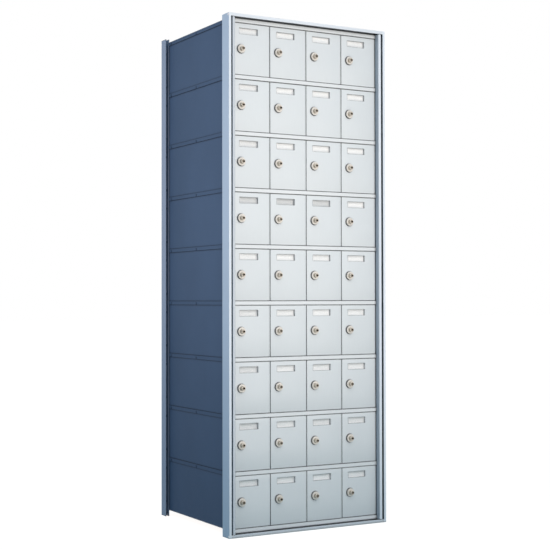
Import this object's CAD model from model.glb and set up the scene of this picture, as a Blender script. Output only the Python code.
# %% [markdown]
# A bank of thirty-six small mailboxes, dressed for its picture.
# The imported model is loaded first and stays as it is: it is the frame that every new piece is
# fitted to. All places are in metres, X to the right along the front, Y from the front to the
# back and Z up.

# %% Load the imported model
import math

import bmesh
import bpy
from bmesh.types import BMEdge, BMFace, BMVert
from mathutils import Matrix, Vector


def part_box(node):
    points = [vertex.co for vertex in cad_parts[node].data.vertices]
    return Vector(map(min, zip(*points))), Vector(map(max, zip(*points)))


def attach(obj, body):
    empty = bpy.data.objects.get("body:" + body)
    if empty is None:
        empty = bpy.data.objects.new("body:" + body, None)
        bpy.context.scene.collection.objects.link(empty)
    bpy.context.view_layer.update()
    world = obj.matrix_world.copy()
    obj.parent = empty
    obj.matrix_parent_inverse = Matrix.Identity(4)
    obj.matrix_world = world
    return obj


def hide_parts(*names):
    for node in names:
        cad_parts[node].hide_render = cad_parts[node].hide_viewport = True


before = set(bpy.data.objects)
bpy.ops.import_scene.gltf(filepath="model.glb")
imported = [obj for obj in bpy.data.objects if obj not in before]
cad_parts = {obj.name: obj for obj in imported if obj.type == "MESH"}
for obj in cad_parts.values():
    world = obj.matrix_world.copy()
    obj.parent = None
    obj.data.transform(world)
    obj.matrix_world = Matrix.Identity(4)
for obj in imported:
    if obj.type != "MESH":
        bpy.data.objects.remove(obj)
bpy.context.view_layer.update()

# %% [markdown]
# The sizes of a door. They are written in millimetres, as a maker would read them off a drawing,
# and a piece is scaled to metres when it is hung in its place. Each door is drawn with its lower
# free corner at zero and its face at depth zero, so that one drawing serves all thirty-six. The
# face's real depth is measured on a packed door, whose foremost point is the front of its lock.
# FIT is the clearance where one part sits in or on another.

# %% Door sizes
ROWS, COLUMNS = 9, 4
MM = 0.001
FIT = 0.05
DOOR = {"width": 104.6, "height": 127.7, "plate": 3.0, "rim": 1.6, "rim_depth": 6.0,
        "free_round": 1.0, "end_round": 0.7}
HINGE = {"barrel": 3.0, "bore": 1.55, "inset": 3.5, "round": 1.8}
WINDOW = {"left": 18.5, "width": 52.0, "height": 15.0, "from_top": 11.5, "bevel": 0.3}
WINDOW_TOP = DOOR["height"] - WINDOW["from_top"]
WINDOW_X = (WINDOW["left"], WINDOW["left"] + WINDOW["width"])
WINDOW_Z = (WINDOW_TOP - WINDOW["height"], WINDOW_TOP)
LOCK = {"across": 23.0, "up": 63.85, "hole": 9.55, "front": 12.8}
FACE_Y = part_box("door_r4c1")[0].y + LOCK["front"] * MM
print("door faces at", round(1000 * FACE_Y, 2), "mm")


def door_corner(row, column):
    """The lower free corner of a door, with its face's depth."""
    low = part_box(f"door_r{row}c{column}")[0]
    return Vector((low.x, FACE_Y, low.z))


print("corner of the first door", [round(1000 * v, 2) for v in door_corner(1, 1)])

# %% [markdown]
# Helpers for shaping a mesh. Most parts of a door are flat plates with openings, rims and pockets.
# They could be made with boolean cuts, but those leave long thin faces. Here a face is sliced
# along straight lines, and the cell between the cuts is taken out or pushed in, which keeps the
# mesh clean. SAME and NEAR say how close two places are when they count as one, ONE_WAY how nearly
# a face looks along a direction, and SHARP is the angle, in radians, that makes an edge a corner.

# %% Helpers for cutting and pushing
X, Y, Z = range(3)
SAME, NEAR, FAR = 1e-4, 1e-3, 1e6
CUT_SLACK = 1e-5
ONE_WAY = 0.999
SHARP = 1.0


def of_kind(things, kind):
    """The members of a mixed list that are of one kind, such as faces."""
    return [g for g in things if isinstance(g, kind)]


def geometry(faces):
    """The faces with their edges and corners, which is what a cut has to be given."""
    edges = {e for f in faces for e in f.edges}
    corners = {v for f in faces for v in f.verts}
    return list(faces) + list(edges) + list(corners)


def cut_faces(bm, faces, lines):
    """Cuts faces along flat planes, each an axis with a place, and returns what they became."""
    found = geometry(faces)
    for axis, place in lines:
        across = Vector((0, 0, 0))
        across[axis] = 1
        found = bmesh.ops.bisect_plane(bm, geom=found, dist=CUT_SLACK, plane_co=across * place,
                                       plane_no=across)["geom"]
    return of_kind(found, BMFace)


def faces_within(faces, x=(-FAR, FAR), z=(-FAR, FAR)):
    """The faces whose middle lies within these limits."""
    middles = [(f, f.calc_center_median()) for f in faces]
    return [f for f, m in middles if x[0] < m.x < x[1] and z[0] < m.z < z[1]]


def facing(bm, way, depth):
    """The flat faces at one depth that look along way."""
    found = []
    for f in bm.faces:
        f.normal_update()
        if f.normal.dot(Vector(way)) > ONE_WAY and abs(f.calc_center_median().y - depth) < NEAR:
            found.append(f)
    return found


def push(bm, faces, offset):
    """Extrudes faces as one region and moves the new ones."""
    made = bmesh.ops.extrude_face_region(bm, geom=geometry(faces))["geom"]
    bmesh.ops.translate(bm, verts=of_kind(made, BMVert), vec=offset)
    return of_kind(made, BMFace)


def round_edges(bm, edges, size, steps=1):
    return bmesh.ops.bevel(bm, geom=edges, offset=size, offset_type="OFFSET", segments=steps,
                           profile=0.5, affect="EDGES", material=-1, clamp_overlap=True)


print("places closer than", SAME, "mm count as one")

# %% [markdown]
# Helpers for finishing a mesh. The parts could be modelled on every door, but the doors are all
# alike, so each part is made once as a bmesh, the parts are gathered into one pattern mesh, and
# the pattern is copied. A copy gets its place in its vertices, so its object stays at the origin,
# unturned, which is where the export puts every object before it bakes the materials.

# %% Helpers for finishing and hanging
def smooth_shading(bm, sharp_above):
    """Smooth faces, with edges kept sharp where the surface turns by more than an angle."""
    limit = math.radians(sharp_above)
    for f in bm.faces:
        f.smooth = True
    for e in bm.edges:
        e.smooth = len(e.link_faces) == 2 and e.calc_face_angle(0) < limit


def finished(bm, tone=0, sharp_above=32):
    """Closes seams, turns all faces outwards, and sets the place of the material that they take."""
    bmesh.ops.remove_doubles(bm, verts=bm.verts, dist=SAME)
    bmesh.ops.recalc_face_normals(bm, faces=bm.faces)
    smooth_shading(bm, sharp_above)
    for f in bm.faces:
        f.material_index = tone
    return bm


def gather(name, *parts):
    """One mesh from several bmeshes, in metres."""
    mesh = bpy.data.meshes.new(name)
    whole = bmesh.new()
    for part in parts:
        part.to_mesh(mesh)
        whole.from_mesh(mesh)
        part.free()
    whole.to_mesh(mesh)
    mesh.transform(Matrix.Scale(MM, 4))
    print(name, "has", len(whole.faces), "faces")
    whole.free()
    return mesh


def hang(name, pattern, corner, body, materials, replaces=()):
    """A copy of a pattern mesh as a piece that rides on a body."""
    mesh = pattern.copy()
    mesh.name = name
    mesh.transform(Matrix.Translation(corner))
    for material in materials:
        mesh.materials.append(material)
    made = bpy.data.objects.new(name, mesh)
    bpy.context.scene.collection.objects.link(made)
    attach(made, body)
    if replaces:
        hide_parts(*replaces)
    return made


print("mesh helpers ready")

# %% [markdown]
# Finishes. A picture of brushed metal could be wrapped round each piece, but it would have to be
# laid out on every surface. Each finish here is a node material instead: noise, stretched along
# one axis, gives the lines of a drawn or brushed metal from a few numbers. Patterns read Object
# coordinates, and because every piece sits at the origin, these are real places on the unit, so no
# two doors are alike.

# %% Helpers for patterns
MIX_SHARE, MIX_FIRST, MIX_SECOND, MIX_COLOUR = 0, 6, 7, 2


def new_finish(name, colour, metallic, roughness, shine=0.5):
    """A material whose plain values stand on the shader's own sockets."""
    material = bpy.data.materials.new(name)
    material.use_nodes = True
    tree = material.node_tree
    shader = tree.nodes["Principled BSDF"]
    shader.inputs["Base Color"].default_value = (*colour, 1)
    shader.inputs["Metallic"].default_value = metallic
    shader.inputs["Roughness"].default_value = roughness
    shader.inputs["Specular IOR Level"].default_value = shine
    return material, tree, shader


def noise(tree, stretch, detail=2.0, rough=0.5):
    """Noise on Object coordinates. A big stretch packs it tightly along that axis."""
    place = tree.nodes.new("ShaderNodeTexCoord")
    scale = tree.nodes.new("ShaderNodeMapping")
    scale.inputs["Scale"].default_value = stretch
    tree.links.new(place.outputs["Object"], scale.inputs["Vector"])
    made = tree.nodes.new("ShaderNodeTexNoise")
    made.inputs["Scale"].default_value = 1.0
    made.inputs["Detail"].default_value = detail
    made.inputs["Roughness"].default_value = rough
    tree.links.new(scale.outputs["Vector"], made.inputs["Vector"])
    return made.outputs["Fac"]


def spread(tree, value, low, high, start=0.3, end=0.7):
    """Maps a pattern's usual range onto the range that a socket needs."""
    made = tree.nodes.new("ShaderNodeMapRange")
    made.inputs["From Min"].default_value = start
    made.inputs["From Max"].default_value = end
    made.inputs["To Min"].default_value = low
    made.inputs["To Max"].default_value = high
    tree.links.new(value, made.inputs["Value"])
    return made.outputs["Result"]


def feed(tree, value, socket):
    """Gives a socket a link, a colour or a number."""
    if hasattr(value, "links"):
        tree.links.new(value, socket)
    else:
        socket.default_value = (*value, 1) if isinstance(value, tuple) else value


def blend_colours(tree, share, first, second, way="MIX"):
    made = tree.nodes.new("ShaderNodeMix")
    made.data_type, made.blend_type = "RGBA", way
    for place, value in ((MIX_SHARE, share), (MIX_FIRST, first), (MIX_SECOND, second)):
        feed(tree, value, made.inputs[place])
    return made.outputs[MIX_COLOUR]


def relief(tree, shader, height, depth):
    """A bump of a real depth in metres."""
    made = tree.nodes.new("ShaderNodeBump")
    made.inputs["Strength"].default_value = 1.0
    made.inputs["Distance"].default_value = depth
    tree.links.new(height, made.inputs["Height"])
    tree.links.new(made.outputs["Normal"], shader.inputs["Normal"])


def shade(colour, factor):
    return tuple(min(1.0, c * factor) for c in colour)


print("pattern helpers ready")

# %% [markdown]
# Handled metal isn't one tone. It is darker in grooves and gaps, where dirt stays, and along thin
# edges, and extrusions are duller on some sides than on others. These could be painted by hand on
# each piece. The Ambient Occlusion node finds the same places on its own: taken outwards it tells
# how closed in a surface is, and taken inwards, on the piece alone, how near its own edge is. The
# side that a face looks to and its place along X come from the Texture Coordinate node.

# %% Helpers for tones
def mottled(tree, colour, slow, fine, share=0.5):
    """A colour that varies with a slow pattern and with a fine one. Each comes with how far the
    tone moves, and share is the fine one's part."""
    tones = [blend_colours(tree, spread(tree, pattern, 0, 1), shade(colour, 1 - change),
                           shade(colour, 1 + change)) for pattern, change in (slow, fine)]
    return blend_colours(tree, share, *tones)


def darkened(tree, colour, share):
    """Multiplies a colour by a share, which may be a pattern or a tint."""
    return blend_colours(tree, 1.0, colour, share, "MULTIPLY")


def openness(tree, reach, inside):
    """How open the surface is, from 0 to 1, within reach metres."""
    made = tree.nodes.new("ShaderNodeAmbientOcclusion")
    made.samples = 6
    made.inside = made.only_local = inside
    made.inputs["Distance"].default_value = reach
    return made.outputs["AO"]


def darker_nooks(tree, colour, reach, share, start=0.3, end=0.8):
    """Darkens a colour down to a share where neighbours within reach close it in."""
    from_others = openness(tree, reach, False)
    return darkened(tree, colour, spread(tree, from_others, share, 1.0, start, end))


def darker_edges(tree, colour, reach, share, start=0.5, end=0.95):
    """Darkens a colour down to a share along a piece's own outer edges."""
    from_edge = openness(tree, reach, True)
    return darkened(tree, colour, spread(tree, from_edge, share, 1.0, start, end))


def along_x(tree, what):
    """The X part of the place ("Object") or of the way a face looks ("Normal")."""
    place = tree.nodes.new("ShaderNodeTexCoord")
    split = tree.nodes.new("ShaderNodeSeparateXYZ")
    tree.links.new(place.outputs[what], split.inputs[0])
    return split.outputs["X"]


def tinted_sides(tree, colour, to_left, to_right):
    """Tints a colour where a face looks left or right."""
    way, plain, turned_by = along_x(tree, "Normal"), (1, 1, 1), 0.3
    left = blend_colours(tree, spread(tree, way, 1.0, 0.0, -1.0, -turned_by), plain, to_left)
    right = blend_colours(tree, spread(tree, way, 0.0, 1.0, turned_by, 1.0), plain, to_right)
    return darkened(tree, darkened(tree, colour, left), right)


def duller_beyond(tree, colour, start, share):
    """Darkens a colour on the part of a piece that lies to the right of start, in metres."""
    soft = 5e-4
    place = along_x(tree, "Object")
    return darkened(tree, colour, spread(tree, place, 1.0, share, start - soft, start + soft))


print("tone helpers ready")

# %% [markdown]
# All the metals of the unit are variations of one finish, so one function makes them: satin metal
# with fine lines in colour, gloss and surface, and slow clouds in its tone. The lines' depth is
# that of a real brush mark, two hundredths of a millimetre.

# %% Drawn metal
LINE_DEPTH = 2e-5
CLOUDS = (9, 9, 7)


def drawn_metal(name, colour, metallic, roughness, grain, cloud=0.03, line=0.03, gloss=0.06,
                grime=(0.012, 0.03), sides=None, lip=None, edges=None, shine=0.3):
    """grain says how tightly the lines are packed along each axis, and cloud, line and gloss how
    far tone and gloss move. grime is how near a neighbour darkens the metal, and to what share,
    and edges the same for its own edges. sides are two tints for faces that look left and right,
    and lip is a place along X with a share."""
    material, tree, shader = new_finish(name, colour, metallic, roughness, shine)
    lines = noise(tree, grain, 3.0, 0.6)
    tone = mottled(tree, colour, (noise(tree, CLOUDS, 3.0), cloud), (lines, line))
    if sides:
        tone = tinted_sides(tree, tone, *sides)
    if lip:
        tone = duller_beyond(tree, tone, *lip)
    if edges:
        tone = darker_edges(tree, tone, *edges)
    tone = darker_nooks(tree, tone, *grime)
    tree.links.new(tone, shader.inputs["Base Color"])
    satin = spread(tree, lines, roughness - gloss, roughness + gloss)
    tree.links.new(satin, shader.inputs["Roughness"])
    relief(tree, shader, lines, LINE_DEPTH)
    return material


print("lines", LINE_DEPTH * 1000, "mm deep")

# %% [markdown]
# The frame and the rear posts are extruded aluminium with a clear, slightly blue anodised skin.
# Extrusions carry faint lines along their length, so the uprights get a grain along Z, and the
# head and sill one along X. In the photograph a stile's outer side is duller and bluer than its
# face, its inner side is darker, and the left stile's inner lip, beyond the groove, is a little
# darker than the outer one. The rear posts are of a deeper blue. One material with tints by side
# keeps each stile in one piece, as it is extruded.

# %% Anodised frame
FRAME_COLOUR, LEVEL_COLOUR = (0.80, 0.86, 0.93), (0.74, 0.79, 0.85)
SILL_COLOUR, POST_COLOUR = shade(LEVEL_COLOUR, 1.06), (0.295, 0.395, 0.525)
ALONG_X, ALONG_Y, ALONG_Z = (6, 700, 700), (700, 6, 700), (700, 700, 6)
OUTER_SIDE, INNER_SIDE = (0.517, 0.66, 0.77), (0.42, 0.465, 0.505)
STILE_GROOVE_ENDS = 0.0113
INNER_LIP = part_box("frame_stile_left")[0].x + STILE_GROOVE_ENDS
left_upright = drawn_metal("anodised left upright", FRAME_COLOUR, 0.02, 0.42, ALONG_Z,
                           grime=(0.006, 0.05), sides=(OUTER_SIDE, INNER_SIDE),
                           lip=(INNER_LIP, 0.78), shine=0.15)
right_upright = drawn_metal("anodised right upright", FRAME_COLOUR, 0.02, 0.42, ALONG_Z,
                            grime=(0.0075, 0.03), sides=(INNER_SIDE, OUTER_SIDE), shine=0.15)
frame_level = drawn_metal("anodised level", LEVEL_COLOUR, 0.05, 0.42, ALONG_X, grime=(0.02, 0.02))
sill_metal = drawn_metal("anodised sill", SILL_COLOUR, 0.05, 0.42, ALONG_X, grime=(0.015, 0.01))
post_metal = drawn_metal("anodised post", POST_COLOUR, 0.02, 0.46, ALONG_Z, grime=(0.006, 0.25),
                         edges=(0.0016, 0.3), shine=0.15)
print("uprights", FRAME_COLOUR, "head", LEVEL_COLOUR, "posts", POST_COLOUR)

# %% [markdown]
# The doors and the rails between them are plain, paler aluminium, with a fine upright grain on the
# doors and a lengthwise one on the rails. Their rounded edges turn away from the light within a
# millimetre, and show as thin dark lines round every door. Wider gaps would give such lines too,
# but a darker tone along the edges keeps the real sizes. The gaps are dark only close to the edge,
# so the doors' grime has a short reach.

# %% Door aluminium
DOOR_COLOUR, RAIL_COLOUR = (0.71, 0.75, 0.775), (0.75, 0.78, 0.80)
DOOR_GRAIN, RAIL_GRAIN = (1400, 1400, 25), (25, 1400, 1400)
DARK_EDGES = (0.0016, 0.35)
door_metal = drawn_metal("door aluminium", DOOR_COLOUR, 0.05, 0.45, DOOR_GRAIN, 0.025, 0.04,
                         grime=(0.004, 0.03), edges=DARK_EDGES)
rail_metal = drawn_metal("rail aluminium", RAIL_COLOUR, 0.05, 0.42, RAIL_GRAIN, 0.025, 0.03,
                         edges=DARK_EDGES)
print("doors", DOOR_COLOUR, "rails", RAIL_COLOUR)

# %% [markdown]
# The side panels and the strips over their joints have a slate powder coat. Powder coat is never
# quite flat: it has an orange peel a millimetre or two across, and the tone drifts slowly. The
# peel could be sculpted, but that takes millions of faces, so it is a bump. The shine is kept low,
# since the photograph shows hardly any. The strips are a shade darker, and thin dark lines run
# beside them where they lie on the panels. The rivets are painted over, a shade lighter.

# %% Slate powder coat
SLATE = (0.064, 0.115, 0.199)
SPECKS, PEEL = (2200, 2200, 2200), (600, 600, 600)
PEEL_DEPTH = 6e-5


def powder_coat(name, colour, nook=(0.005, 0.1)):
    """nook is how near a neighbour darkens the paint, and to what share."""
    material, tree, shader = new_finish(name, colour, 0.0, 0.5, shine=0.05)
    clouds, specks, peel = noise(tree, (7, 7, 5), 4.0), noise(tree, SPECKS, 1.0), noise(tree, PEEL)
    tone = mottled(tree, colour, (clouds, 0.1), (specks, 0.15), spread(tree, specks, 0.35, 0.65))
    tone = darker_edges(tree, tone, 0.001, 0.3)
    tone = darker_nooks(tree, tone, *nook, 0.6, 0.98)
    tree.links.new(tone, shader.inputs["Base Color"])
    tree.links.new(spread(tree, peel, 0.42, 0.56), shader.inputs["Roughness"])
    relief(tree, shader, peel, PEEL_DEPTH)
    return material


slate = powder_coat("slate powder coat", SLATE)
strip_paint = powder_coat("strip paint", shade(SLATE, 0.95))
rivet_paint = powder_coat("rivet paint", shade(SLATE, 1.1), nook=(0.001, 0.8))
print("slate", SLATE)

# %% [markdown]
# Inside, the compartments are mill-finish sheet with rolling lines from front to back. The hinge
# rods are zinc-plated steel. The screws at the frame's corners are of the same steel, but new and
# bright beside the dull side of the stile, so they have a paler, less metallic finish that hardly
# darkens in the countersinks.

# %% Sheet metal and steel
EVEN_GRAIN = (500, 500, 500)
sheet_metal = drawn_metal("mill sheet", (0.52, 0.54, 0.56), 0.4, 0.5, ALONG_Y, 0.06, 0.05)
steel = drawn_metal("plated steel", (0.55, 0.56, 0.57), 0.8, 0.35, EVEN_GRAIN, 0.05, 0.05)
bright_zinc = drawn_metal("bright zinc", (0.9, 0.91, 0.92), 0.1, 0.3, EVEN_GRAIN, 0.05, 0.05,
                          grime=(0.001, 0.6))
print("inside finishes ready")

# %% [markdown]
# The cam locks are die cast and nickel plated, which looks warm beside the aluminium. Seen from a
# step away a lock is a pale ring with a darker, browner middle. So the ring and the nose's face
# are clean nickel, the nose's side is duller, the plug, cam and screw are worn by the key, the
# ring's taper is left grey, and the inside of the keyway is black with graphite and shade.

# %% Nickel, ring edge and keyway
NICKEL, WORN_NICKEL = (0.755, 0.72, 0.67), (0.33, 0.28, 0.22)
NOSE_SIDE, RING_EDGE, GRAPHITE = (0.50, 0.43, 0.34), (0.20, 0.20, 0.197), (0.012, 0.011, 0.01)
CAST_GRAIN, EDGE_GRAIN, DUST_GRAIN = (900, 900, 900), (1200, 1200, 1200), (1500, 1500, 1500)
nickel = drawn_metal("lock nickel", NICKEL, 0.1, 0.36, CAST_GRAIN, 0.06, 0.06, 0.08,
                     grime=(0.003, 0.5))
worn_nickel = drawn_metal("worn lock nickel", WORN_NICKEL, 0.1, 0.42, CAST_GRAIN, 0.08, 0.1, 0.08,
                          grime=(0.006, 0.2))
nose_side = drawn_metal("lock nose side", NOSE_SIDE, 0.1, 0.4, CAST_GRAIN, 0.08, 0.1, 0.08,
                        grime=(0.003, 0.5))
ring_edge = drawn_metal("lock ring edge", RING_EDGE, 0.3, 0.4, EDGE_GRAIN, 0.08, 0.1, 0.08)
keyway_dark = drawn_metal("keyway graphite", GRAPHITE, 0.0, 0.6, DUST_GRAIN, 0.1, 0.2)
print("nickel", NICKEL, "worn", WORN_NICKEL)

# %% [markdown]
# The name cards are plain paper in a grey holder behind a clear cover. Every card is blank. Some
# are whiter than others. Each could have a material of its own, but then thirty-six would have to
# be baked, so one paper goes from grey to white by a shade that each card's mesh carries as an
# attribute. The cover is almost wholly clear, with a faint haze in its gloss.

# %% Paper, holder and cover
GREY_PAPER = ((0.50, 0.52, 0.53), (0.54, 0.56, 0.57))
WHITE_PAPER = ((0.94, 0.95, 0.95), (0.98, 0.98, 0.975))
FIBRES, MOULD_GRAIN, HAZE = (2200, 2200, 3500), (1500, 1500, 1500), (60, 60, 60)
FIBRE_DEPTH, MOULD_DEPTH = 2e-5, 3e-5


def paper_finish():
    material, tree, shader = new_finish("card paper", (0.85, 0.85, 0.84), 0.0, 0.75)
    own = tree.nodes.new("ShaderNodeAttribute")
    own.attribute_name = "card_shade"
    fibres = noise(tree, FIBRES, 3.0, 0.65)
    share = spread(tree, fibres, 0, 1)
    tones = [blend_colours(tree, share, *pair) for pair in (GREY_PAPER, WHITE_PAPER)]
    tree.links.new(blend_colours(tree, own.outputs["Fac"], *tones), shader.inputs["Base Color"])
    relief(tree, shader, fibres, FIBRE_DEPTH)
    return material


def moulded_plastic(name, colour):
    material, tree, shader = new_finish(name, colour, 0.0, 0.5)
    grain = noise(tree, MOULD_GRAIN)
    tone = blend_colours(tree, spread(tree, grain, 0, 1), shade(colour, 0.92), shade(colour, 1.08))
    tree.links.new(tone, shader.inputs["Base Color"])
    tree.links.new(spread(tree, grain, 0.42, 0.58), shader.inputs["Roughness"])
    relief(tree, shader, grain, MOULD_DEPTH)
    return material


def clear_plastic():
    material, tree, shader = new_finish("clear cover", (0.92, 0.94, 0.95), 0.0, 0.12)
    shader.inputs["Alpha"].default_value = 0.04
    haze = noise(tree, HAZE, 3.0)
    tone = blend_colours(tree, spread(tree, haze, 0, 1), (0.88, 0.90, 0.91), (0.95, 0.96, 0.97))
    tree.links.new(tone, shader.inputs["Base Color"])
    tree.links.new(spread(tree, haze, 0.08, 0.2), shader.inputs["Roughness"])
    return material


paper = paper_finish()
holder_plastic = moulded_plastic("card holder grey", (0.30, 0.31, 0.33))
cover_plastic = clear_plastic()
print("card finishes ready")

# %% [markdown]
# The frame, posts, rails, panels, shelves and fasteners are right as they were packed: folded and
# extruded shapes with little more to show. They keep their solids and only get a finish.

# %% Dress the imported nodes
NODE_FINISH = {
    "frame_stile_left": left_upright, "frame_stile_right": right_upright,
    "frame_head": frame_level, "frame_sill": sill_metal, "frame_screws": bright_zinc,
    "rear_post_left": post_metal, "rear_post_right": post_metal, "rear_crossbars": frame_level,
    "side_panels": slate, "joint_strips": strip_paint, "shelves": sheet_metal,
    "partitions": sheet_metal, "strikes": sheet_metal, "door_rails": rail_metal,
    "hinge_rods": steel, "panel_rivets": rivet_paint,
}
for node, material in NODE_FINISH.items():
    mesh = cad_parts[node].data
    mesh.materials.clear()
    mesh.materials.append(material)
print("nodes dressed", len(NODE_FINISH))

# %% [markdown]
# The door's plate and its hinge barrel are one extrusion, so the plan is drawn once and extruded
# upwards. Its outline is a thin slab with one small arc at the edge beside the hinge and a half
# circle behind it for the barrel. Each arc is a spin of the outline's last corner, and a circle
# round the hinge's axis is the bore. A slab with a tube against it would look alike from afar, but
# the two would cross.

# %% Door plan
HINGE_AXIS = DOOR["width"] - HINGE["inset"]


def arc_from(bm, corner, centre, angle, steps):
    """Spins a corner round a centre, which draws an arc, and returns the arc's last corner."""
    arc = bmesh.ops.spin(bm, geom=[corner], cent=centre, axis=(0, 0, 1), angle=angle, steps=steps)
    return of_kind(arc["geom_last"], BMVert)[0]


def line_to(bm, start, place):
    end = bm.verts.new(place)
    bm.edges.new((start, end))
    return end


def door_plan(bm):
    width, plate, radius, turn = DOOR["width"], DOOR["plate"], HINGE["barrel"], HINGE["round"]
    first = bm.verts.new((0, plate, 0))
    last = line_to(bm, line_to(bm, first, (0, 0, 0)), (width - turn, 0, 0))
    last = arc_from(bm, last, (width - turn, turn, 0), math.pi / 2, 5)
    last = line_to(bm, line_to(bm, last, (width, radius, 0)), (HINGE_AXIS + radius, radius, 0))
    last = arc_from(bm, last, (HINGE_AXIS, radius, 0), math.pi, 16)
    bm.edges.new((last, first))
    bmesh.ops.create_circle(bm, segments=20, radius=HINGE["bore"],
                            matrix=Matrix.Translation((HINGE_AXIS, radius, 0)))
    made = bmesh.ops.triangle_fill(bm, edges=bm.edges[:], use_beauty=True, use_dissolve=False)
    return of_kind(made["geom"], BMFace)


print("hinge axis", HINGE_AXIS, "mm from the free edge")

# %% [markdown]
# The window and the lock's hole are cut by slicing the front and back faces along their sides,
# taking out the cell between the cuts and bridging the two borders. For the round hole the cell's
# border is split into sixteen and bridged to a circle of sixteen first.

# %% Openings
ON_AXIS = Matrix.Rotation(math.pi / 2, 4, "X")
HOLE_MARGIN = 0.4
HOLE_STEPS = 16


def cell(bm, faces, x, z):
    """Slices faces across at both heights, then the strip between at both sides. Returns the
    faces of the cell, and the rest."""
    cells = cut_faces(bm, faces, [(Z, z[0]), (Z, z[1])])
    strip = faces_within(cells, z=z)
    rest = [f for f in cells if f not in strip]
    strip = cut_faces(bm, strip, [(X, x[0]), (X, x[1])])
    inside = faces_within(strip, x, z)
    return inside, rest + [f for f in strip if f not in inside]


def through_window(bm, sides):
    """Cuts the window through two sides of the plate and returns what is left of each."""
    borders, rests = [], []
    for faces in sides:
        hole, rest = cell(bm, faces, WINDOW_X, WINDOW_Z)
        borders += [e for f in hole for e in f.edges]
        rests.append(rest)
        bmesh.ops.delete(bm, geom=hole, context="FACES_ONLY")
    bmesh.ops.bridge_loops(bm, edges=borders)
    return rests


def through_lock_hole(bm, sides):
    x, z, radius = LOCK["across"], LOCK["up"], LOCK["hole"]
    half = radius + HOLE_MARGIN
    circles = []
    for faces, depth in zip(sides, (0, DOOR["plate"])):
        hole = cell(bm, faces, (x - half, x + half), (z - half, z + half))[0]
        border = [e for f in hole for e in f.edges]
        bmesh.ops.delete(bm, geom=hole, context="FACES_ONLY")
        split = bmesh.ops.subdivide_edges(bm, edges=border, cuts=HOLE_STEPS // 4 - 1)["geom"]
        place = Matrix.Translation((x, depth, z)) @ ON_AXIS
        ring = bmesh.ops.create_circle(bm, segments=HOLE_STEPS, radius=radius, matrix=place)
        ring_edges = list({e for v in ring["verts"] for e in v.link_edges})
        bmesh.ops.bridge_loops(bm, edges=of_kind(split, BMEdge) + ring_edges)
        circles += ring_edges
    bmesh.ops.bridge_loops(bm, edges=circles)


print("window across", WINDOW_X, "and up", WINDOW_Z)

# %% [markdown]
# Behind its face the plate is stiffened by a thin rim along the top, the bottom and the free edge.
# The rim is the outermost cells of the back face, pushed further back. Then the edges of the face
# are rounded: the free upright edge, the two ends and the window's border.

# %% Door panel
def plate_back(bm):
    """The back of the plate, without the narrow strip beyond the hinge's axis."""
    return faces_within(facing(bm, (0, 1, 0), DOOR["plate"]), x=(-FAR, HINGE_AXIS))


def is_free_edge(edge):
    """True for the upright edge at the door's free corner."""
    return all(abs(v.co.x) < SAME and abs(v.co.y) < SAME for v in edge.verts)


def is_end_edge(edge):
    """True for an edge of the face at the door's top or bottom, up to where the rounding ends."""
    start, end = (v.co for v in edge.verts)
    level = abs(start.z - end.z) < SAME and min(start.z, DOOR["height"] - start.z) < SAME
    return level and max(start.y, end.y) < DOOR["free_round"] - NEAR


def on_window_border(place):
    """True for a place of the front face on the window's border."""
    from_x = min(abs(place.x - side) for side in WINDOW_X)
    from_z = min(abs(place.z - side) for side in WINDOW_Z)
    beside = from_x < SAME and WINDOW_Z[0] - SAME < place.z < WINDOW_Z[1] + SAME
    along = from_z < SAME and WINDOW_X[0] - SAME < place.x < WINDOW_X[1] + SAME
    return abs(place.y) < SAME and (beside or along)


def is_window_edge(edge):
    """True for an edge that borders the window."""
    start, end = (v.co for v in edge.verts)
    return all(on_window_border(place) for place in (start, end, (start + end) / 2))


def door_panel():
    bm = bmesh.new()
    push(bm, door_plan(bm), (0, 0, DOOR["height"]))
    bmesh.ops.recalc_face_normals(bm, faces=bm.faces)
    through_lock_hole(bm, through_window(bm, (facing(bm, (0, -1, 0), 0), plate_back(bm))))
    rim, top = DOOR["rim"], DOOR["height"] - DOOR["rim"]
    cells = cut_faces(bm, plate_back(bm), [(X, rim), (Z, rim), (Z, top)])
    inner = faces_within(cells, x=(rim, FAR), z=(rim, top))
    outer = [f for f in cells if f not in inner]
    push(bm, outer, (0, DOOR["rim_depth"] - DOOR["plate"], 0))
    roundings = ((is_free_edge, DOOR["free_round"], 3), (is_end_edge, DOOR["end_round"], 2),
                 (is_window_edge, WINDOW["bevel"], 1))
    for wanted, size, steps in roundings:
        round_edges(bm, [e for e in bm.edges if wanted(e)], size, steps)
    return finished(bm)


panel_pattern = gather("door panel pattern", door_panel())

# %% [markdown]
# A cam lock is a turned part. It could be stacked from cylinders, but they leave hidden faces, so
# its profile, radius against depth, is spun once round the axis: a tapered base ring against the
# door, a narrow nose that holds the plug, and a threaded shank behind. Two flats on the shank stop
# the lock from turning in the door. The head's faces take three finishes: those that look forwards
# are clean nickel, the nose's side is duller, and the ring's taper is grey. A face counts as a
# side when its normal has less than SIDEWAYS of the axis in it.

# %% Lock body
HEAD = {"base": 11.5, "base_rim": 0.4, "ring": 10.3, "ring_depth": 5.0, "ring_bevel": (0.4, 0.3),
        "nose": 5.4, "nose_bevel": 0.5}
SHANK = {"radius": 9.5, "flat": 8.2, "length": 15.0, "pitch": 1.25, "thread": 0.6, "lead": 0.5}
PLUG = {"radius": 4.4, "proud": 0.2, "slot": (4.8, 2.4), "offset": 1.2, "slot_depth": 14.0,
        "mouth": 0.45}
BORE = PLUG["radius"] + FIT
CLEAR_OF = 0.1
SIDEWAYS = 0.5
CLEAN, GREY_TAPER, DULL_SIDE = range(3)


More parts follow.
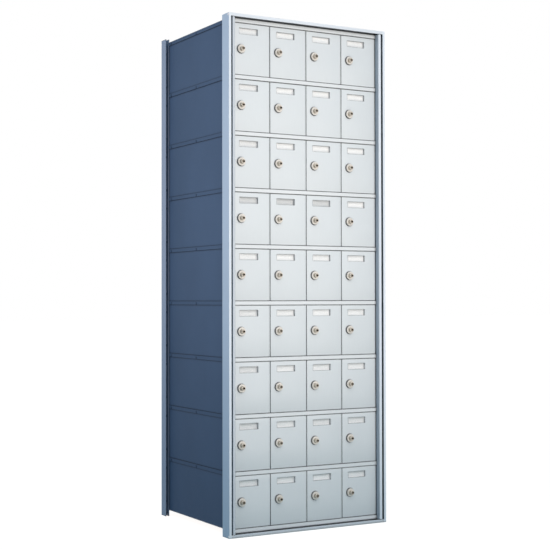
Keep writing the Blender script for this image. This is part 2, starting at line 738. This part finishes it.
def turned(profile, steps):
    """Spins a closed profile of (radius, depth) points about the lock's axis, along Y."""
    bm = bmesh.new()
    corners = [bm.verts.new((r, d, 0)) for r, d in profile]
    edges = [bm.edges.new(pair) for pair in zip(corners, corners[1:] + corners[:1])]
    bmesh.ops.spin(bm, geom=corners + edges, cent=(0, 0, 0), axis=(0, 1, 0), angle=2 * math.pi,
                   steps=steps, use_merge=True)
    return bm


def to_lock_axis(bm):
    bmesh.ops.translate(bm, verts=bm.verts, vec=(LOCK["across"], 0, LOCK["up"]))
    return bm


def lock_head():
    front, step, nose, ring = -LOCK["front"], -HEAD["ring_depth"], HEAD["nose"], HEAD["ring"]
    (inwards, backwards), bevel = HEAD["ring_bevel"], HEAD["nose_bevel"]
    profile = [
        (BORE, front), (nose - bevel, front), (nose, front + bevel), (nose, step),
        (ring - inwards, step), (ring, step + backwards), (HEAD["base"], -HEAD["base_rim"]),
        (HEAD["base"], -FIT), (BORE, -FIT),
    ]
    bm = finished(to_lock_axis(turned(profile, 48)), CLEAN)
    for f in bm.faces:
        middle = f.calc_center_median()
        out = math.hypot(middle.x - LOCK["across"], middle.z - LOCK["up"])
        if abs(f.normal.y) < SIDEWAYS:
            f.material_index = GREY_TAPER if out > nose + CLEAR_OF else DULL_SIDE
    return bm


def lock_shank():
    radius, lead, pitch, length = (SHANK[k] for k in ("radius", "lead", "pitch", "length"))
    profile = [(BORE, -FIT), (radius, -FIT)]
    for i in range(int((length - lead) / pitch)):
        profile.append((radius - SHANK["thread"], lead + (i + 0.5) * pitch))
        profile.append((radius, lead + (i + 1) * pitch))
    profile += [(radius - lead, length), (BORE, length)]
    bm = turned(profile, 32)
    bmesh.ops.remove_doubles(bm, verts=bm.verts, dist=SAME)
    bmesh.ops.recalc_face_normals(bm, faces=bm.faces)
    for side in (1, -1):
        cut = bmesh.ops.bisect_plane(bm, geom=geometry(bm.faces[:]), dist=CUT_SLACK,
                                     plane_co=(0, 0, side * SHANK["flat"]), plane_no=(0, 0, side),
                                     clear_outer=True)
        bmesh.ops.edgeloop_fill(bm, edges=of_kind(cut["geom_cut"], BMEdge))
    return finished(to_lock_axis(bm), sharp_above=25)


lock_parts = [lock_head(), lock_shank()]
print("lock head and shank", [len(b.faces) for b in lock_parts])

# %% [markdown]
# The nut behind the door is a hexagon with a hole for the shank. Two outlines, filled between and
# extruded, give it in one go, and its outer rim at the back is bevelled as a bought nut's is.

# %% Lock nut
NUT = {"across": 24.0, "thickness": 3.0, "bevel": 0.5}
NUT_FRONT = DOOR["plate"] + FIT


def lock_nut():
    bm = bmesh.new()
    place = Matrix.Translation((LOCK["across"], NUT_FRONT, LOCK["up"])) @ ON_AXIS
    corner_radius = NUT["across"] / math.sqrt(3)
    for segments, radius in ((6, corner_radius), (24, SHANK["radius"] + FIT)):
        bmesh.ops.create_circle(bm, segments=segments, radius=radius, matrix=place)
    made = bmesh.ops.triangle_fill(bm, edges=bm.edges[:], use_beauty=True, use_dissolve=False)
    push(bm, of_kind(made["geom"], BMFace), (0, NUT["thickness"], 0))
    bmesh.ops.recalc_face_normals(bm, faces=bm.faces)
    axis = Vector((LOCK["across"], NUT_FRONT + NUT["thickness"], LOCK["up"]))
    back = [e for e in bm.edges if all(abs(v.co.y - axis.y) < SAME for v in e.verts)]
    outside = [e for e in back if e.calc_face_angle(0) > SHARP
               and (e.verts[0].co - axis).length > NUT["across"] / 2]
    round_edges(bm, outside, NUT["bevel"])
    return finished(bm)


lock_parts.append(lock_nut())
lock_pattern = gather("lock pattern", *lock_parts)

# %% [markdown]
# The plug turns in the lock's nose. Its front face is a disc that is sliced along the sides of the
# keyway. The whole disc is extruded to the plug's length, and then the keyway's cell is pushed in
# and its mouth chamfered, which guides the key. The keyway and its chamfer take the dark finish.
# The cam is a disc with its lower half drawn down, and the screw that holds it is another slotted
# disc, which looks backwards.

# %% Plug, cam and cam screw
CAM = {"length": 19.0, "width": 13.0, "thickness": 2.0, "bevel": 0.25}
CAM_SCREW = {"radius": 4.5, "head": 2.0, "slot": 1.0, "slot_depth": 1.0}
RIM_BEVEL, RIM_SHARE = 0.15, 0.98
KEYWAY = 1


def disc(radius, depth, segments):
    bm = bmesh.new()
    bmesh.ops.create_circle(bm, cap_ends=True, segments=segments, radius=radius,
                            matrix=Matrix.Translation((0, depth, 0)) @ ON_AXIS)
    return bm


def slotted_disc(radius, depth, thickness, slot_x, slot_z, slot_depth, segments, mouth=0):
    """A disc from depth to depth + thickness with a slot pushed into the face that looks forwards.
    A negative thickness makes one that looks back. mouth is the size of a chamfer round the
    slot."""
    bm = disc(radius, depth, segments)
    sides = [(X, slot_x[0]), (X, slot_x[1]), (Z, slot_z[0]), (Z, slot_z[1])]
    push(bm, cut_faces(bm, bm.faces[:], sides), (0, thickness, 0))
    bmesh.ops.recalc_face_normals(bm, faces=bm.faces)
    outwards = -1 if thickness > 0 else 1
    open_face = faces_within(facing(bm, (0, outwards, 0), depth), slot_x, slot_z)
    push(bm, open_face, (0, -outwards * slot_depth, 0))
    sharp = [e for e in bm.edges if all(abs(v.co.y - depth) < SAME for v in e.verts)
             and e.calc_face_angle(0) > SHARP]
    at_rim = RIM_SHARE * radius
    rim = [e for e in sharp if all(math.hypot(v.co.x, v.co.z) > at_rim for v in e.verts)]
    mouth_edges = [e for e in sharp if mouth and e not in rim]
    round_edges(bm, rim, RIM_BEVEL)
    if mouth:
        round_edges(bm, mouth_edges, mouth)
    return bm


def plug():
    (length, width), mid = PLUG["slot"], PLUG["offset"]
    front = -LOCK["front"] - PLUG["proud"]
    bm = slotted_disc(PLUG["radius"], front, SHANK["length"] - front,
                      (mid - length / 2, mid + length / 2), (-width / 2, width / 2),
                      PLUG["slot_depth"], 40, PLUG["mouth"])
    finished(to_lock_axis(bm))
    slot_front = Vector((LOCK["across"] + mid, front + CLEAR_OF, LOCK["up"]))
    half_x, half_z = length / 2 + PLUG["mouth"], width / 2 + PLUG["mouth"]
    for f in bm.faces:
        middle = f.calc_center_median() - slot_front
        within = abs(middle.x) < half_x and abs(middle.z) < half_z
        if within and 0 < middle.y < PLUG["slot_depth"] + CLEAR_OF:
            f.material_index = KEYWAY
    return bm


def cam():
    bm = disc(CAM["width"] / 2, SHANK["length"] + FIT, 32)
    low = [v for v in bm.verts if v.co.z < -SAME]
    bmesh.ops.translate(bm, verts=low, vec=(0, 0, CAM["width"] / 2 - CAM["length"]))
    push(bm, bm.faces[:], (0, CAM["thickness"], 0))
    bmesh.ops.recalc_face_normals(bm, faces=bm.faces)
    round_edges(bm, [e for e in bm.edges if e.calc_face_angle(0) > SHARP], CAM["bevel"])
    return finished(to_lock_axis(bm))


def cam_screw():
    back = SHANK["length"] + 2 * FIT + CAM["thickness"] + CAM_SCREW["head"]
    beyond, half = CAM_SCREW["radius"] + 1, CAM_SCREW["slot"] / 2
    bm = slotted_disc(CAM_SCREW["radius"], back, -CAM_SCREW["head"], (-beyond, beyond),
                      (-half, half), CAM_SCREW["slot_depth"], 28)
    return finished(to_lock_axis(bm))


turning_pattern = gather("turning lock parts pattern", plug(), cam(), cam_screw())

# %% [markdown]
# The card holder is a shallow tray behind the window, open to the front and, by a thin slot,
# towards the hinge, where card and cover slide in. A cube is sized, its front face is sliced
# along the window's sides, and the middle cell is pushed in. The slot is a cell of its end face,
# pushed in the same way. Card and cover are thin sheets, a little larger than the window all
# round, with their edges just broken so that they catch the light.

# %% Card holder, card and cover
HOLDER = {"border": 4.0, "depth": 5.0, "bevel": 0.5, "slot": (4.6, 6.1), "slot_play": 0.2,
          "slot_stop": 0.3}
COVER = {"depth": 4.65, "thickness": 0.8}
CARD = {"depth": 5.5, "thickness": 0.5}
SHEET_OVERLAP, SHEET_BEVEL = 1.5, 0.12
HOLDER_TONE, CARD_TONE = range(2)


def box_between(low, high):
    bm = bmesh.new()
    low, high = Vector(low), Vector(high)
    size = Matrix.Diagonal((*(high - low), 1))
    bmesh.ops.create_cube(bm, size=1, matrix=Matrix.Translation((low + high) / 2) @ size)
    return bm


def card_holder():
    (left, right), (low, high), edge = WINDOW_X, WINDOW_Z, HOLDER["border"]
    front, (slot_front, slot_back) = DOOR["plate"] + FIT, HOLDER["slot"]
    bm = box_between((left - edge, front, low - edge),
                     (right + edge, front + HOLDER["depth"], high + edge))
    back_rim = [e for e in bm.edges if all(v.co.y > front + 1 for v in e.verts)]
    round_edges(bm, back_rim, HOLDER["bevel"], 2)
    cells = cut_faces(bm, facing(bm, (0, -1, 0), front),
                      [(X, left), (X, right), (Z, low), (Z, high)])
    push(bm, faces_within(cells, (left, right), (low, high)), (0, slot_back - front, 0))
    end = [f for f in bm.faces if f.normal.x > ONE_WAY and f.calc_center_median().x > right + 1]
    reach = SHEET_OVERLAP + HOLDER["slot_play"]
    slot_z = (low - reach, high + reach)
    cells = cut_faces(bm, end, [(Y, slot_front), (Y, slot_back), (Z, slot_z[0]), (Z, slot_z[1])])
    slot = [f for f in faces_within(cells, z=slot_z)
            if slot_front < f.calc_center_median().y < slot_back]
    push(bm, slot, (HOLDER["slot_stop"] - edge, 0, 0))
    return finished(bm, HOLDER_TONE)


def slid_sheet(depth, thickness, tone):
    (left, right), (low, high), over = WINDOW_X, WINDOW_Z, SHEET_OVERLAP
    bm = box_between((left - over, depth, low - over),
                     (right + over, depth + thickness, high + over))
    round_edges(bm, bm.edges[:], SHEET_BEVEL)
    return finished(bm, tone)


card = slid_sheet(CARD["depth"], CARD["thickness"], CARD_TONE)
card_pattern = gather("card set pattern", card_holder(), card)
cover_pattern = gather("cover pattern", slid_sheet(COVER["depth"], COVER["thickness"], 0))

# %% [markdown]
# Now the doors are hung. The thirty-six doors share five patterns. Where the model has the lock's
# turning parts on a body of their own they ride on that body, and elsewhere on the door. The
# table gives how white each card is, row by row, from 0 for grey to 1 for white.

# %% Hang the doors
CARD_SHADES = [
    (0.85, 0.95, 1.00, 1.00), (0.80, 0.95, 0.95, 1.00), (0.70, 0.95, 0.95, 1.00),
    (0.35, 0.30, 0.35, 1.00), (0.90, 0.95, 0.90, 1.00), (0.75, 0.90, 1.00, 1.00),
    (0.65, 0.95, 0.90, 0.95), (0.65, 0.90, 0.75, 0.85), (0.80, 1.00, 1.00, 0.95),
]
for row in range(1, ROWS + 1):
    for column in range(1, COLUMNS + 1):
        place, here = f"r{row}c{column}", door_corner(row, column)
        body, lock = f"door_{place}", f"lock_{place}"
        hang(f"panel_{place}", panel_pattern, here, body, [door_metal], [body])
        hang(f"lockset_{place}", lock_pattern, here, body, [nickel, ring_edge, nose_side])
        cards = hang(f"cardset_{place}", card_pattern, here, body, [holder_plastic, paper])
        own = cards.data.attributes.new("card_shade", "FLOAT", "POINT")
        corners = len(cards.data.vertices)
        own.data.foreach_set("value", [CARD_SHADES[row - 1][column - 1]] * corners)
        hang(f"cover_{place}", cover_pattern, here, body, [cover_plastic])
        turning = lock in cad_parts
        hang(f"plug_{place}", turning_pattern, here, lock if turning else body,
             [worn_nickel, keyway_dark], [lock] if turning else [])

# %% [markdown]
# The stage: a plain pale floor. To the camera, and in reflections, it is as white as paper where
# nothing shades it, and it still keeps the unit's soft shadow. That could be done with a great
# deal of light, but then the unit would be overlit. So the floor glows only for rays that see it
# directly, and its own colour, a dark cool one, sets how much light it throws back on the foot of
# the unit. The glow is a little warm, so that the two add up to a neutral white.

# %% Floor
FLOOR = {"half": 30, "below": 0.0004, "colour": (0.15, 0.26, 0.26, 1), "glow": (1, 0.95, 0.93, 1),
         "strength": 0.975}


def seen_directly(tree):
    """One for rays from the camera, from gloss and through clear plastic, else zero."""
    path = tree.nodes.new("ShaderNodeLightPath")
    total = path.outputs["Is Camera Ray"]
    for name in ("Is Glossy Ray", "Is Transmission Ray"):
        more = tree.nodes.new("ShaderNodeMath")
        more.operation = "MAXIMUM"
        tree.links.new(total, more.inputs[0])
        tree.links.new(path.outputs[name], more.inputs[1])
        total = more.outputs[0]
    return total


def floor_finish():
    material = bpy.data.materials.new("pale floor")
    material.use_nodes = True
    tree = material.node_tree
    shader = tree.nodes["Principled BSDF"]
    shader.inputs["Base Color"].default_value = FLOOR["colour"]
    shader.inputs["Roughness"].default_value = 0.9
    shader.inputs["Specular IOR Level"].default_value = 0.0
    pick = tree.nodes.new("ShaderNodeMath")
    pick.operation = "MULTIPLY"
    pick.inputs[1].default_value = FLOOR["strength"]
    tree.links.new(seen_directly(tree), pick.inputs[0])
    glow = tree.nodes.new("ShaderNodeEmission")
    glow.inputs["Color"].default_value = FLOOR["glow"]
    tree.links.new(pick.outputs[0], glow.inputs["Strength"])
    both = tree.nodes.new("ShaderNodeAddShader")
    tree.links.new(shader.outputs[0], both.inputs[0])
    tree.links.new(glow.outputs[0], both.inputs[1])
    tree.links.new(both.outputs[0], tree.nodes["Material Output"].inputs["Surface"])
    return material


def pale_floor():
    bm = bmesh.new()
    bmesh.ops.create_grid(bm, x_segments=1, y_segments=1, size=FLOOR["half"],
                          matrix=Matrix.Translation((0, 0, -FLOOR["below"])))
    mesh = bpy.data.meshes.new("floor")
    bm.to_mesh(mesh)
    bm.free()
    mesh.materials.append(floor_finish())
    floor = bpy.data.objects.new("floor", mesh)
    bpy.context.scene.collection.objects.link(floor)


pale_floor()
print("floor", 2 * FLOOR["half"], "m across")

# %% [markdown]
# The world is the air of the studio: a dim, cool light from all sides, which fills what the lamps
# don't reach. Seen directly it is white, as the floor is, so the background stays clean.

# %% World
AIR_COLOUR, AIR_STRENGTH = (0.47, 0.75, 0.99, 1), 0.45
world = bpy.data.worlds.new("studio")
bpy.context.scene.world = world
world.use_nodes = True
tree = world.node_tree
air = tree.nodes["Background"]
air.inputs["Color"].default_value = AIR_COLOUR
air.inputs["Strength"].default_value = AIR_STRENGTH
paper_white = tree.nodes.new("ShaderNodeBackground")
paper_white.inputs["Color"].default_value = (1, 1, 1, 1)
mixed = tree.nodes.new("ShaderNodeMixShader")
tree.links.new(seen_directly(tree), mixed.inputs[0])
tree.links.new(air.outputs[0], mixed.inputs[1])
tree.links.new(paper_white.outputs[0], mixed.inputs[2])
tree.links.new(mixed.outputs[0], tree.nodes["World Output"].inputs["Surface"])
print("world strength", AIR_STRENGTH)

# %% [markdown]
# A tall soft key lamp stands close in front, almost in the middle, which lights the doors evenly,
# and a narrower one stands at the left. The left one is warm, because it shines on blue paint and
# blue metal beside the cool air, and it stands behind the plane of the doors, so it doesn't reach
# them. Both end above the floor, so the foot of the unit lies in softer, cooler light, as it does
# in the photograph.

# %% Lamps
def soft_lamp(name, place, target, width, height, power, colour):
    data = bpy.data.lights.new(name, "AREA")
    data.shape = "RECTANGLE"
    data.size, data.size_y = width, height
    data.energy = power
    data.color = colour
    lamp = bpy.data.objects.new(name, data)
    bpy.context.scene.collection.objects.link(lamp)
    lamp.location = place
    lamp.rotation_mode = "QUATERNION"
    lamp.rotation_quaternion = (Vector(target) - Vector(place)).to_track_quat("-Z", "Y")
    lamp.visible_camera = False


soft_lamp("key lamp", (-0.035, -0.78, 0.92), (-0.035, -0.18, 0.92), 1.1, 1.56, 8.17,
          (1.0, 0.9, 0.82))
soft_lamp("side lamp", (-0.83, -0.05, 0.97), (-0.23, -0.05, 0.97), 0.3, 1.1, 3.7,
          (1.0, 0.78, 0.74))

# %% [markdown]
# The camera stands where the photograph was taken from. Its place, turn and focal length were
# worked out from the rows and columns of doors, whose corners are known in the model.

# %% Camera
IMAGE = 550
FOCAL_PIXELS = 1249.79
STANDS_AT = Vector((-1.64103, -2.89643, 0.58151))
YAW, PITCH, ROLL = math.radians(29.693), math.radians(1.1096), math.radians(-0.0990)


def photo_camera():
    ahead = Vector((math.sin(YAW) * math.cos(PITCH), math.cos(YAW) * math.cos(PITCH),
                    math.sin(PITCH)))
    level = Vector((math.cos(YAW), -math.sin(YAW), 0))
    upright = level.cross(ahead)
    right = math.cos(ROLL) * level + math.sin(ROLL) * upright
    up = math.cos(ROLL) * upright - math.sin(ROLL) * level
    data = bpy.data.cameras.new("photo camera")
    data.sensor_width = 36
    data.lens = FOCAL_PIXELS / IMAGE * data.sensor_width
    data.clip_start, data.clip_end = 0.1, 100
    camera = bpy.data.objects.new("photo camera", data)
    bpy.context.scene.collection.objects.link(camera)
    turn = Matrix((right, up, -ahead)).transposed()
    camera.matrix_world = Matrix.Translation(STANDS_AT) @ turn.to_4x4()
    bpy.context.scene.camera = camera
    return data


print("lens", round(photo_camera().lens, 2), "mm")
bpy.context.scene.view_settings.view_transform = "Standard"
